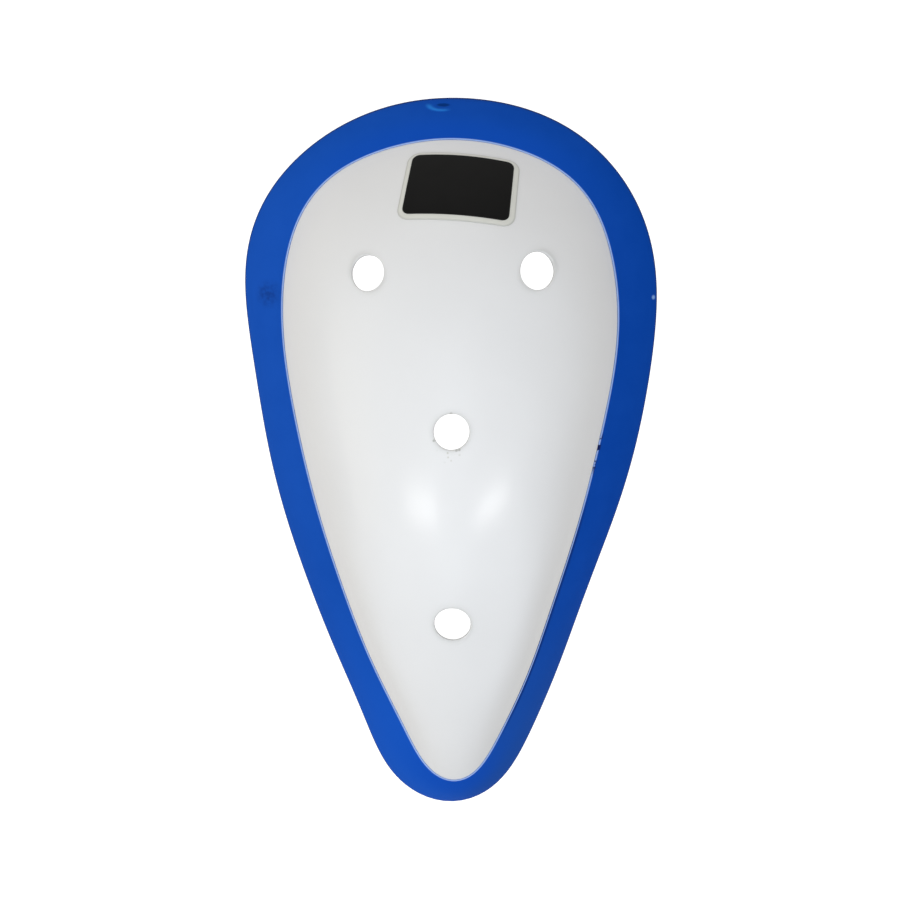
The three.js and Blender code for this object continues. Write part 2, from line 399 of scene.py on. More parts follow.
def vent_wall():
    """How much wider than the vent, and how deep, from outside to inside: a quarter round, a short
    straight land, a slope that opens out and a second quarter round."""
    sweep = np.linspace(0, math.pi / 2, FILLET_STEPS)
    opened = (CUP_WALL - VENT_LAND) * math.tan(VENT_OPENING)
    front = VENT_FILLET * (1 - np.sin(sweep))
    back = opened + VENT_FILLET * (1 - np.cos(sweep))
    wider = np.concatenate([front, [0.0], back])
    front_depth = VENT_FILLET * (1 - np.cos(sweep))
    back_depth = CUP_WALL - VENT_FILLET * (1 - np.sin(sweep))
    depth = np.concatenate([front_depth, [VENT_LAND], back_depth])
    return wider, depth


# %% [markdown]
# ## The cup
#
# The cup's wall is one closed skin. It comes up through the middle vent, runs out over the dome
# to the seam, dips into the rim, turns back at the hidden edge and returns along the inside. As a
# grid this is a ring of columns round the vent and a closed loop of rows, so it needs no caps and
# no poles.

# %% Columns, rows and the two sheets of the cup
COLUMNS = 340
SHEET_ROWS = 56
TUCK_ROWS = 5
ROW_CROWDING = 1.25

even_turn = np.arange(COLUMNS) * 2 * math.pi / COLUMNS
table_turn = np.linspace(0, 2 * math.pi, 4001)
table_plan = seam_plan(table_turn) - [MIDDLE_VENT.x, MIDDLE_VENT.y]
table_aim = np.unwrap(np.arctan2(table_plan[:, 0], table_plan[:, 1]))
aimed_turn = np.interp(even_turn + table_aim[0], table_aim, table_turn)
seam = seam_frame((even_turn + aimed_turn) / 2)

wall_wider, wall_depth = vent_wall()
hub_angle, _ = bearing(MIDDLE_VENT, seam.plan[:, 0], seam.plan[:, 1])
share = np.linspace(0, 1, SHEET_ROWS)[:, None, None] ** ROW_CROWDING


def sheet(wider):
    """Plan points from the middle vent's edge, made wider, straight out to the seam."""
    hub = np.stack(vent_plan(MIDDLE_VENT, hub_angle, wider), axis=-1)
    return hub + (seam.plan - hub) * share


outside_plan = sheet(wall_wider[0])
inside_plan = sheet(wall_wider[-1])
outside = lay(outside_plan[..., 0], outside_plan[..., 1], 0.0)
inside = lay(inside_plan[..., 0], inside_plan[..., 1], -CUP_WALL)

tuck = np.linspace(0, CUP_TUCK, TUCK_ROWS)[1:, None]
tuck_outside = place(seam, wall_point(seam, tuck, 0.0))
tuck_inside = place(seam, wall_point(seam, tuck[::-1], -CUP_WALL))
hub_x, hub_y = vent_plan(MIDDLE_VENT, hub_angle, wall_wider[1:-1, None])
hub_wall = lay(hub_x, hub_y, -wall_depth[1:-1, None])[::-1]

cup_rows = np.concatenate([outside, tuck_outside, tuck_inside, inside[::-1], hub_wall])
cup_faces = grid_faces(len(cup_rows), COLUMNS, loop_rows=True)
cup_keep = np.ones(cup_faces.shape[:2], dtype=bool)
print("cup grid:", cup_rows.shape[:2])

# %% [markdown]
# ### The other three vents
#
# Each vent takes out the cells that lie near it, on the outside and on the inside. The points on
# the border of that block then run in to the vent, through its wall and back out, as the rows of
# a small grid of their own.

# %% Rings of quads between a block of cells and a vent
BLOCK_MARGIN = 1.2 * MM
RING_SHARES = np.array([0.25, 0.5, 0.75, 0.92])
INSIDE_LAST = 2 * SHEET_ROWS + len(tuck_outside) + len(tuck_inside) - 1


def block_border(hole):
    """Rows and columns of the smallest block that holds the vent, and its border in order."""
    _, distance = bearing(hole, outside_plan[..., 0], outside_plan[..., 1])
    near = distance < hole.radius + hole.stretch + wall_wider[-1] + BLOCK_MARGIN
    rows = np.flatnonzero(near.any(axis=1))
    columns = np.flatnonzero(near.any(axis=0))
    top, bottom = rows[0] - 1, rows[-1] + 1
    left, right = columns[0] - 1, columns[-1] + 1
    across = np.arange(left, right)
    down = np.arange(top, bottom)
    border_rows = [np.full(len(across), top), down, np.full(len(across), bottom), down[::-1] + 1]
    border_columns = [across, np.full(len(down), right), across[::-1] + 1, np.full(len(down), left)]
    border = np.concatenate(border_rows), np.concatenate(border_columns)
    return slice(top, bottom), slice(left, right), *border


def run_in(hole, border, wider):
    """Plan points from the block's border in towards an oval round the vent, and the angles they come
    in at."""
    angle, _ = bearing(hole, border[:, 0], border[:, 1])
    goal = np.stack(vent_plan(hole, angle, wider), axis=-1)
    return border + (goal - border) * RING_SHARES[:, None, None], angle


def vent_ring(hole, border_rows, border_columns):
    """Rows of points from the block's border to the vent, through its wall and back inside."""
    front, angle = run_in(hole, outside_plan[border_rows, border_columns], wall_wider[0])
    back, _ = run_in(hole, inside_plan[border_rows, border_columns], wall_wider[-1])
    wall_x, wall_y = vent_plan(hole, angle, wall_wider[:, None])
    return np.concatenate([
        outside[None, border_rows, border_columns],
        lay(front[..., 0], front[..., 1], 0.0),
        lay(wall_x, wall_y, -wall_depth[:, None]),
        lay(back[::-1, :, 0], back[::-1, :, 1], -CUP_WALL),
        inside[None, border_rows, border_columns],
    ])


cup_points = [cup_rows.reshape(-1, 3)]
ring_faces = []
for hole in BLOCK_VENTS:
    block_rows, block_columns, border_rows, border_columns = block_border(hole)
    cup_keep[block_rows, block_columns] = False
    mirrored = slice(INSIDE_LAST - block_rows.stop, INSIDE_LAST - block_rows.start)
    cup_keep[mirrored, block_columns] = False
    ring = vent_ring(hole, border_rows, border_columns)
    ring_faces.append(grid_faces(*ring.shape[:2], first=sum(map(len, cup_points))).reshape(-1, 4))
    cup_points.append(ring.reshape(-1, 3))
    print("vent at", round(hole.x / MM, 1), round(hole.y / MM, 1), "has", ring.shape[1], "columns")

DARKENING_REACH = 0.40 * MM


def vent_grime(points):
    """One at a vent's edge, falling off with distance from it: the exponential of minus distance
    over reach."""
    grime = np.zeros(len(points))
    for hole in ALL_VENTS:
        angle, distance = bearing(hole, points[:, 0], points[:, 1])
        beyond = np.maximum(distance - oval(hole, angle) - VENT_FILLET, 0)
        grime = np.maximum(grime, np.exp(-beyond / DARKENING_REACH))
    return grime


cup_points = np.concatenate(cup_points)
cup = make_piece(
    "cup",
    "shell",
    "cup_plastic",
    cup_points,
    np.concatenate([cup_faces[cup_keep], *ring_faces]),
    vent_grime=vent_grime(cup_points),
)

# %% [markdown]
# ## The soft rim
#
# The rim is a tongue of vinyl moulded over the cup's edge. Its face leans more towards the tip,
# its outer edge is rounded, and underneath it has a narrow flat seat. The profile is a polygon
# whose corners are rounded by short curves, and it is worked out for all points of the seam at
# once. It could be lofted from a few fixed sections, but then the lip would cut the wall between
# them.

# %% The rim's profile carried along the seam
CORNER_STEPS = 6
LIP_FEATHER = 0.3 * MM
FACE_ROUNDING = 0.34
LIP_ROUND = 0.15 * MM
SEAT_ROUND = 0.9 * MM
HEEL_ROUND = 0.8 * MM
BACK_ROUND = 1.2 * MM
BACK_LIP_ROUND = 0.6 * MM
MOUTH_ROUND = 0.3 * MM
GROOVE_ROUND = 0.1 * MM


def rounded(corners, setbacks):
    """Each corner becomes a quadratic curve from one setback before it to one setback after it."""
    before = np.roll(corners, 1, axis=0) - corners
    after = np.roll(corners, -1, axis=0) - corners
    before /= np.linalg.norm(before, axis=1, keepdims=True)
    after /= np.linalg.norm(after, axis=1, keepdims=True)
    reach = np.stack([np.broadcast_to(setback, corners.shape[2:]) for setback in setbacks])[:, None]
    t = np.linspace(0, 1, CORNER_STEPS)[None, :, None, None]
    start = (corners + before * reach)[:, None]
    middle = corners[:, None]
    end = (corners + after * reach)[:, None]
    curve = (1 - t) ** 2 * start + 2 * t * (1 - t) * middle + t**2 * end
    return curve.reshape(-1, *corners.shape[1:])


def rim_profile(seam):
    """Corners of the section with their setbacks: lip, face, outer edge, seat, back, and the groove
    for the cup."""
    lip = wall_point(seam, 0.0, LIP_FEATHER)
    edge_shift = wander(seam.turn, WANDER[:, 3], WANDER[:, 4]) - seam_shift(seam.turn)
    edge_out = RIM_FACE * np.cos(seam.face_angle) + edge_shift
    edge = np.stack([edge_out, -RIM_FACE * np.sin(seam.face_angle)])
    swell = RIM_BULGE * np.stack([np.sin(seam.face_angle), np.cos(seam.face_angle)])
    behind = -CUP_WALL - LIP_BACK
    pocket = CUP_TUCK + BOND_GAP
    corners_and_setbacks = [
        (lip, LIP_ROUND),
        ((lip + edge) / 2 + 2 * swell, FACE_ROUNDING * np.linalg.norm(edge - lip, axis=0)),
        (edge, RIM_NOSE),
        (np.stack([edge[0], seam.seat]), SEAT_ROUND),
        (np.stack([edge[0] - RIM_NOSE - RIM_SEAT, seam.seat]), HEEL_ROUND),
        (wall_point(seam, CUP_TUCK, behind), BACK_ROUND),
        (wall_point(seam, LIP_DROP, behind), BACK_LIP_ROUND),
        (wall_point(seam, LIP_DROP, -CUP_WALL - BOND_GAP), MOUTH_ROUND),
        (wall_point(seam, pocket, -CUP_WALL - BOND_GAP), GROOVE_ROUND),
        (wall_point(seam, pocket, BOND_GAP), GROOVE_ROUND),
        (wall_point(seam, 0.0, BOND_GAP), GROOVE_ROUND),
    ]
    corners = np.stack([corner for corner, _ in corners_and_setbacks])
    return rounded(corners, [setback for _, setback in corners_and_setbacks])


rim_section = rim_profile(seam)
rim_points = place(seam, np.moveaxis(rim_section, 1, 0))
rim_faces = grid_faces(*rim_points.shape[:2], loop_rows=True).reshape(-1, 4)

# how far each point lies across the face: 0 at the lip, 1 at the outer edge, along the profile
LIP_ROW = CORNER_STEPS // 2
EDGE_ROW = 2 * CORNER_STEPS + CORNER_STEPS // 2
rim_steps = np.linalg.norm(np.roll(rim_points, -1, axis=0) - rim_points, axis=-1)
rim_run = np.cumsum(np.roll(rim_steps, 1, axis=0), axis=0) - rim_steps[-1]
from_lip = np.abs(rim_run - rim_run[LIP_ROW])
from_lip = np.minimum(from_lip, rim_steps.sum(axis=0) - from_lip)
rim_across = from_lip / from_lip[EDGE_ROW]
rim = make_piece(
    "soft_rim",
    "rim",
    "rim_vinyl",
    rim_points.reshape(-1, 3),
    rim_faces,
    rim_across=rim_across,
)

# %% [markdown]
# ## The badge
#
# A small sticker lies on the dome near the waist end: a pale backing with a black field, turned a
# few degrees. Vinyl bends but does not stretch, so each of its points is found by walking over
# the dome as on a flat sheet, first up and then across. That gives the sticker its gently arched
# edges. Shrinkwrap would press a rectangle down from above instead, and stretch it where the dome
# is steep.

# %% Walking over the dome
BADGE_X = 2.25 * MM
BADGE_Y = 71.22 * MM + SEAM_Y
BADGE_TURN = math.radians(-4.35)
BADGE_SKEW = 0.056
BADGE_TAPER = 0.0022 / MM
WALK_STEPS = 12


def walk(start, heading, length):
    """Short straight steps, each put back on the dome, with the heading laid back into the surface
    each time."""
    here, ahead = np.broadcast_arrays(start, heading)
    for _ in range(WALK_STEPS):
        here = here + ahead * (length / WALK_STEPS)[..., None]
        here = on_dome(here[..., 0], here[..., 1])
        normal = dome_normal(here[..., 0], here[..., 1])
        ahead = ahead - normal * (ahead * normal).sum(axis=-1, keepdims=True)
        ahead = ahead / np.linalg.norm(ahead, axis=-1, keepdims=True)
    return here, ahead


def badge_points(flat, stand_off):
    """Points of the flat sticker, as (across, up), cut a little out of square, laid on the dome and
    lifted off it."""
    across = flat[..., 0] * (1 - BADGE_TAPER * flat[..., 1]) + BADGE_SKEW * flat[..., 1]
    middle = on_dome(np.full(flat.shape[:-1], BADGE_X), np.full(flat.shape[:-1], BADGE_Y))
    normal = dome_normal(middle[..., 0], middle[..., 1])
    heading = np.array([-math.sin(BADGE_TURN), math.cos(BADGE_TURN), 0.0])
    heading = heading - normal * (normal @ heading)[..., None]
    heading /= np.linalg.norm(heading, axis=-1, keepdims=True)
    climbed, ahead = walk(middle, heading, flat[..., 1])
    sideways = np.cross(ahead, dome_normal(climbed[..., 0], climbed[..., 1]))
    there, _ = walk(climbed, sideways, across)
    return lay(there[..., 0], there[..., 1], stand_off)


# %% Two layers laid on the dome
OUTLINE_POINTS = 208
EDGE_ROUND = np.linspace(0, math.pi / 2, 5)
FIELD_SHARES = np.linspace(0, 1, 11)[:-1]
BADGE_EDGE_ROUND = 0.2 * MM


def rounded_rectangle(width, height, corner):
    """Points of a box with rounded corners: a plain box's points, pulled in to a circle round each
    corner's centre."""
    side = np.linspace(-1, 1, OUTLINE_POINTS // 4, endpoint=False)
    one = np.ones_like(side)
    box = np.concatenate([
        np.stack([side, one], axis=-1),
        np.stack([one, -side], axis=-1),
        np.stack([-side, -one], axis=-1),
        np.stack([-one, side], axis=-1),
    ]) * [width / 2, height / 2]
    inner = np.array([width / 2 - corner, height / 2 - corner])
    middle = np.clip(box, -inner, inner)
    beyond = box - middle
    length = np.linalg.norm(beyond, axis=1, keepdims=True)
    return middle + beyond * corner / length


def badge_layer(name, node, slot, width, height, corner, offset, bottom, top):
    """Rings from the middle of the top, over a rounded edge, down the side and back under."""
    outline = rounded_rectangle(width, height, corner)
    soft = min(top - bottom, BADGE_EDGE_ROUND)
    inset = 1 - 2 * soft * (1 - np.sin(EDGE_ROUND)) / height
    reach = np.concatenate([FIELD_SHARES * inset[0], inset, [1.0], FIELD_SHARES[::-1]])
    stand_off = np.concatenate([
        np.full(len(FIELD_SHARES), top),
        top - soft * (1 - np.cos(EDGE_ROUND)),
        [bottom],
        np.full(len(FIELD_SHARES), bottom),
    ])
    points = badge_points(outline * reach[:, None, None] + offset, stand_off[:, None])
    faces = grid_faces(*points.shape[:2]).reshape(-1, 4)
    badge_reach = np.broadcast_to(reach[:, None], points.shape[:2])
    return make_piece(name, node, slot, points.reshape(-1, 3), faces, badge_reach=badge_reach)


SHEET_OFFSET = np.array([0.16, -0.3]) * MM
badge_backing = badge_layer(
    "badge_sheet",
    "badge_backing",
    "badge_pale",
    width=28.9 * MM,
    height=21.8 * MM,
    corner=3.2 * MM,
    offset=SHEET_OFFSET,
    bottom=0.02 * MM,
    top=0.3 * MM,
)
badge_panel = badge_layer(
    "badge_field",
    "badge_panel",
    "badge_black",
    width=26.15 * MM,
    height=19.33 * MM,
    corner=1.9 * MM,
    offset=0.0,
    bottom=0.32 * MM,
    top=0.44 * MM,
)

# %% [markdown]
# ## Materials
#
# Each finish starts from its real material. Colours are given as sRGB hex values, as a paint
# chart gives them, and one function turns them to the linear values that the shader needs.
# Pattern scales are worked out from millimetres.

# %% Helpers for materials


def linear(code):
    """An sRGB hex colour as linear red, green, blue and alpha: a power curve with a straight foot."""
    channels = np.array([int(code[k:k + 2], 16) for k in (1, 3, 5)]) / 255
    curve = np.where(channels <= 0.04045, channels / 12.92, ((channels + 0.055) / 1.055) ** 2.4)
    return (*curve.tolist(), 1.0)


def per_size(millimetres):
    """The texture scale that gives features of this size."""
    return 1 / (millimetres * MM)


def add(tree, kind, settings, links):
    """Adds one node. Settings name its properties or input sockets, links give the output that feeds
    an input."""
    node = tree.nodes.new("ShaderNode" + kind)
    for key, value in settings.items():
        if isinstance(key, int) or key in node.inputs:
            node.inputs[key].default_value = value
        else:
            setattr(node, key, value)
    for key, source in links.items():
        tree.links.new(source, node.inputs[key])
    return node


def new_material(name):
    """An empty material with its output node and Object coordinates."""
    material = bpy.data.materials.new(name)
    material.use_nodes = True
    tree = material.node_tree
    tree.nodes.clear()
    place_on_object = add(tree, "TexCoord", {}, {}).outputs["Object"]
    return material, tree, place_on_object


def finish_with(tree, shader):
    """Links the shader to the material's surface."""
    add(tree, "OutputMaterial", {}, {"Surface": shader.outputs["BSDF"]})


def fade(tree, value, full, none):
    """A smooth step: one where the value is at full, nothing where it is at none."""
    steps = {"From Min": full, "From Max": none, "To Min": 1.0, "To Max": 0.0}
    steps["interpolation_type"] = "SMOOTHSTEP"
    return add(tree, "MapRange", steps, {"Value": value}).outputs["Result"]


def spot_mask(tree, spot, centre, inner, outer):
    """One within the inner distance of a centre, in mm, and fading to nothing at the outer distance."""
    centre = [value * MM for value in centre]
    away = add(tree, "VectorMath", {"operation": "DISTANCE", 1: centre}, {0: spot}).outputs["Value"]
    return fade(tree, away, inner * MM, outer * MM)


def both(tree, first, second):
    """The product of two masks."""
    return add(tree, "Math", {"operation": "MULTIPLY"}, {0: first, 1: second}).outputs[0]


def clouds(tree, spot, millimetres, detail, roughness=0.5):
    """Noise with blotches of this size."""
    settings = {"Scale": per_size(millimetres), "Detail": detail, "Roughness": roughness}
    return add(tree, "TexNoise", settings, {"Vector": spot}).outputs["Fac"]


def painted(tree, tone, code, mask):
    """The tone, covered by another colour where the mask is one."""
    cover = {"data_type": "RGBA", 7: linear(code)}
    return add(tree, "Mix", cover, {0: mask, 6: tone}).outputs[2]


def raised(tree, height, strength, depth, **links):
    """A normal that is tilted as if the surface rose by a depth where the height is one."""
    settings = {"Strength": strength, "Distance": depth}
    return add(tree, "Bump", settings, {"Height": height, **links}).outputs["Normal"]


def dress(piece, material):
    """The piece wears this one material."""
    piece.data.materials.clear()
    piece.data.materials.append(material)
    print(piece.name, "wears", material.name)


# %% [markdown]
# ### Moulded polypropylene
#
# The cup is white polypropylene from a polished mould: a soft, waxy gloss over a body that lets a
# little light in. The surface is not perfectly even. A faint orange peel breaks up the
# highlights, and the white drifts a little. The white is a little darker round the vents, and the
# middle one keeps a few specks and some burrs. Masks of distance place these marks. A painted image
# would place them too, but it would tie the finish to one set of pixels.

# %% White moulded polypropylene
# sizes of the patterns in mm
DRIFT_SIZE = 26
SPECK_SIZE = 1.0
PEEL_SIZE = 1.6
PEEL_DEPTH = 0.06 * MM
SCATTER = 0.5 * MM
# heights and distances within a cell where the specks are full and where they end
CROWN_HEIGHTS = (42.6 * MM, 42.2 * MM)
SPECK_FADE = (0.1, 0.42)
# centre in mm, then the distances where the mark is full and where it ends
SPECKS = ((-0.3, 6.0, 42.8), 1.2, 3.6)
BURRS = [
    ((0.1, 15.15, 42.0), 0.1, 0.55),
    ((1.4, 6.3, 42.8), 0.1, 0.6),
    ((2.1, 6.4, 42.8), 0.1, 0.5),
    ((-4.1, 8.6, 42.6), 0.1, 0.5),
]


def moulded_polypropylene():
    """White with a slow drift of tone, a little darker round the vents, specks by the middle vent and a
    faint orange peel."""
    material, tree, spot = new_material("moulded_polypropylene_white")
    drift = clouds(tree, spot, DRIFT_SIZE, 3.0)
    whites = {"data_type": "RGBA", 6: linear("#eeeeee"), 7: linear("#e8e8e8")}
    tone = add(tree, "Mix", whites, {0: drift}).outputs[2]

    # a little darker next to each vent's edge
    grime = add(tree, "Attribute", {"attribute_name": "vent_grime"}, {}).outputs["Fac"]
    tone = painted(tree, tone, "#dcdcdb", grime)
    cells = add(tree, "TexVoronoi", {"Scale": per_size(SPECK_SIZE)}, {"Vector": spot}).outputs["Distance"]
    height = add(tree, "SeparateXYZ", {}, {0: spot}).outputs["Z"]
    on_crown = both(tree, fade(tree, height, *CROWN_HEIGHTS), spot_mask(tree, spot, *SPECKS))
    specks = both(tree, fade(tree, cells, *SPECK_FADE), on_crown)
    tone = painted(tree, tone, "#c6c5bb", specks)
    for burr in BURRS:
        tone = painted(tree, tone, "#b4b4af", spot_mask(tree, spot, *burr))

    peel = clouds(tree, spot, PEEL_SIZE, 3.0)
    ripple = raised(tree, peel, 0.2, PEEL_DEPTH)
    gloss = add(tree, "MapRange", {"To Min": 0.20, "To Max": 0.26}, {"Value": drift}).outputs["Result"]
    body = {"IOR": 1.49, "Subsurface Weight": 0.12, "Subsurface Scale": SCATTER}
    body["Subsurface Radius"] = (1.0, 1.0, 1.0)
    feeds = {"Base Color": tone, "Roughness": gloss, "Normal": ripple}
    finish_with(tree, add(tree, "BsdfPrincipled", body, feeds))
    return material


dress(cup, moulded_polypropylene())

# %% [markdown]
# ### Soft vinyl
#
# The rim is soft royal blue vinyl with a satin face and a fine grain from the mould. Its thin lip
# lets light through and looks paler, its rounded outer edge is darkened with painted shade, and one
# side is a little duller than the other. Near the waist end a scar shows where the vinyl entered
# the mould: a sunk slit with a ridge round it. The slit is painted darker as painted shade, and the
# ridge is painted paler on its side towards the lamps as a painted highlight. It is drawn as an
# oval field, since it is too shallow to change the outline. Other marks are a smudge, a nick, a
# shaded stretch below the lip, painted shadow flecks along a short stretch of the lip, painted
# light on the face near the lip at both ends, and painted light on the left of the tip with a
# painted sheen on its right. The real grain is finer than a pixel, so it is drawn as coarse as the
# picture can show.

# %% Marks on the vinyl
# centre and half sizes in mm, then the values where each part of the scar is full and where it ends
GATE_RIDGE = ((-2.5, 88.75), (2.9, 1.15))
GATE_SLIT = ((-1.8, 88.9), (2.1, 0.5))
GATE_LIT_SIDE = (-0.55, -0.83, 0.0)
GATE_HEIGHTS = (6.2 * MM, 4.5 * MM)
RIDGE_OUTSIDE = (0.95, 1.45)
RIDGE_INSIDE = (0.95, 0.45)
RIDGE_SIDE = (0.8, 0.0)
SLIT_FADE = (0.5, 1.0)
# centre in mm, then the distances where the mark is full and where it ends
SMUDGE = ((-46.0, 41.4, 7.6), 0.5, 4.5)
NICK = ((51.3, 40.3, 4.2), 0.2, 0.8)
LIP_SHADOW_SPOT = ((38.0, 1.5, 14.0), 3.0, 6.5)
SHADED_LIP = ((28.0, -42.0, 12.0), 22.0, 38.0)
# shares of the way across the face, from lip to outer edge, where a mark is full and where it ends
LIP_ACROSS = (0.0, 0.03)
SHADED_EDGE_ACROSS = (1.01, 0.955)
LIP_LIGHT_ACROSS = (0.05, 0.7)
SHADE_ACROSS = (0.045, 0.095)
SHADE_FROM_LIP = (0.02, 0.006)
LIP_SHADOW_ACROSS = (0.03, 0.06)
# places along y and x where a tone is full and where it ends
LIP_LIGHT_ALONG = (92 * MM, 62 * MM)
TIP_ALONG = (-80 * MM, -25 * MM)
TIP_LIGHT_SIDE = (-8 * MM, 16 * MM)
TIP_SHEEN_SIDE = (14 * MM, 0.0)
# noise values where the painted shadow flecks and the smudge are full and where they end, and sizes in mm
LIP_SHADOW_FLECKS = (0.56, 0.5)
SMUDGE_FLECKS = (0.9, 0.1)
BLUE_CLOUD_SIZE = 9
FLECK_SIZE = 1.4
GRAIN_SIZE = 0.7
GRAIN_DEPTH = 0.05 * MM
SCAR_DEPTH = 0.2 * MM
HALF_WIDTH = 50 * MM


def in_halves(tree, spot, centre, half_size):
    """Offsets from an oval's centre, seen from above and counted in its half sizes."""
    middle = [centre[0] * MM, centre[1] * MM, 0.0]
    shrink = [per_size(half_size[0]), per_size(half_size[1]), 0.0]
    offset = add(tree, "VectorMath", {"operation": "SUBTRACT", 1: middle}, {0: spot}).outputs[0]
    return add(tree, "VectorMath", {"operation": "MULTIPLY", 1: shrink}, {0: offset}).outputs[0]


def gate_scar(tree, spot):
    """Masks of the slit, painted darker as painted shade, and of the ridge, a ring round the scar that
    is painted paler on its side towards the lamps as a painted highlight.
    """
    ring = in_halves(tree, spot, *GATE_RIDGE)
    slit = in_halves(tree, spot, *GATE_SLIT)
    from_ring = add(tree, "VectorMath", {"operation": "LENGTH"}, {0: ring}).outputs["Value"]
    from_slit = add(tree, "VectorMath", {"operation": "LENGTH"}, {0: slit}).outputs["Value"]
    to_side = {"operation": "DOT_PRODUCT", 1: GATE_LIT_SIDE}
    sided = add(tree, "VectorMath", to_side, {0: ring}).outputs["Value"]
    band = both(tree, fade(tree, from_ring, *RIDGE_OUTSIDE), fade(tree, from_ring, *RIDGE_INSIDE))
    height = add(tree, "SeparateXYZ", {}, {0: spot}).outputs["Z"]
    on_face = fade(tree, height, *GATE_HEIGHTS)
    slit_shade_mask = both(tree, fade(tree, from_slit, *SLIT_FADE), on_face)
    ridge_light_mask = both(tree, both(tree, band, fade(tree, sided, *RIDGE_SIDE)), on_face)
    return slit_shade_mask, ridge_light_mask


# %% Blue soft vinyl


def soft_vinyl():
    """Royal blue that drifts in tone and dulls to one side, with a pale lip, painted shade on the
    outer edge, painted light and shade near the lip and at the tip, and a few marks."""
    material, tree, spot = new_material("soft_vinyl_royal_blue")
    drift = clouds(tree, spot, BLUE_CLOUD_SIZE, 5.0, 0.6)
    place_xyz = add(tree, "SeparateXYZ", {}, {0: spot}).outputs
    to_side = {"From Min": -HALF_WIDTH, "From Max": HALF_WIDTH, "To Min": -0.3, "To Max": 0.7}
    dull = add(tree, "MapRange", to_side, {"Value": place_xyz["X"]}).outputs["Result"]
    share = add(tree, "Math", {"operation": "MULTIPLY_ADD", 1: 0.6}, {0: drift, 2: dull}).outputs[0]
    blues = {"data_type": "RGBA", 6: linear("#1853b8"), 7: linear("#0945a6")}
    tone = add(tree, "Mix", blues, {0: share}).outputs[2]

    across = add(tree, "Attribute", {"attribute_name": "rim_across"}, {}).outputs["Fac"]
    lip = fade(tree, across, *LIP_ACROSS)
    # painted shade on the rounded outer edge of the face
    edge = fade(tree, across, *SHADED_EDGE_ACROSS)
    from_middle = add(tree, "Math", {"operation": "ABSOLUTE"}, {0: place_xyz["Y"]}).outputs[0]
    # painted light on the face near the lip at the waist end and at the tip, where the face tips up
    # towards the overhead lamps
    lip_painted_light = both(tree, fade(tree, across, *LIP_LIGHT_ACROSS), fade(tree, from_middle, *LIP_LIGHT_ALONG))
    near_tip = fade(tree, place_xyz["Y"], *TIP_ALONG)
    # painted light on the left side of the tip, the side the lamps stand on
    tip_painted_light = both(tree, near_tip, fade(tree, place_xyz["X"], *TIP_LIGHT_SIDE))
    # a painted sheen, paler and greyer, on the right side of the tip
    tip_painted_sheen = both(tree, near_tip, fade(tree, place_xyz["X"], *TIP_SHEEN_SIDE))
    below_lip = both(tree, fade(tree, across, *SHADE_ACROSS), fade(tree, across, *SHADE_FROM_LIP))
    shaded = both(tree, below_lip, spot_mask(tree, spot, *SHADED_LIP))
    flecks = clouds(tree, spot, FLECK_SIZE, 2.0)
    # painted shadow: dark flecks along a short stretch of the lip, as if the lip stood lifted there
    lip_shadow_stretch = both(tree, fade(tree, across, *LIP_SHADOW_ACROSS), spot_mask(tree, spot, *LIP_SHADOW_SPOT))
    lip_shadow_flecks = both(tree, fade(tree, flecks, *LIP_SHADOW_FLECKS), lip_shadow_stretch)
    smudge = both(tree, fade(tree, flecks, *SMUDGE_FLECKS), spot_mask(tree, spot, *SMUDGE))
    # the slit's darker blue is painted shade in the hollow, the ridge's paler blue a painted highlight on
    # its side towards the lamps
    slit, lit_ridge = gate_scar(tree, spot)
    marks = [
        (tip_painted_light, "#1857c2"),
        (tip_painted_sheen, "#1b4fa8"),
        (lip_painted_light, "#104db8"),
        (lip, "#a4c0f2"),
        (shaded, "#0f3582"),
        (edge, "#0a3478"),
        (lip_shadow_flecks, "#16245c"),
        (smudge, "#123781"),
        (lit_ridge, "#2678d4"),
        (slit, "#06367f"),
        (spot_mask(tree, spot, *NICK), "#7fa6dc"),
    ]
    for mask, code in marks:
        tone = painted(tree, tone, code, mask)

    grain = clouds(tree, spot, GRAIN_SIZE, 3.0)
    tooth = raised(tree, grain, 0.2, GRAIN_DEPTH)
    scar = add(tree, "Math", {"operation": "SUBTRACT"}, {0: lit_ridge, 1: slit}).outputs[0]
    relief = raised(tree, scar, 0.6, SCAR_DEPTH, Normal=tooth)
    gloss = add(tree, "MapRange", {"To Min": 0.42, "To Max": 0.56}, {"Value": drift}).outputs["Result"]
    body = {"IOR": 1.53, "Specular IOR Level": 0.02}
    feeds = {"Base Color": tone, "Roughness": gloss, "Normal": relief}
    finish_with(tree, add(tree, "BsdfPrincipled", body, feeds))
    return material


dress(rim, soft_vinyl())

# %% [markdown]
# ### Badge vinyl
#
# The badge is calendered sticker vinyl: a pale sheet and a black satin field, both with a very
# fine tooth, drawn coarser than it is. A thin darker line is drawn round the cut edge of the
# sheet, and the field's own edge is painted a little paler as a painted highlight. Each layer
# keeps the share of the way from its middle to its edge, and the finish reads that share.

# %% Pale and black sticker vinyl
# sizes of the patterns in mm, and the shares of the reach where the cut edge is full and where it ends
STICKER_CLOUD_SIZE = 5
TOOTH_SIZE = 0.5
TOOTH_DEPTH = 0.03 * MM
CUT_EDGE = (0.995, 0.965)


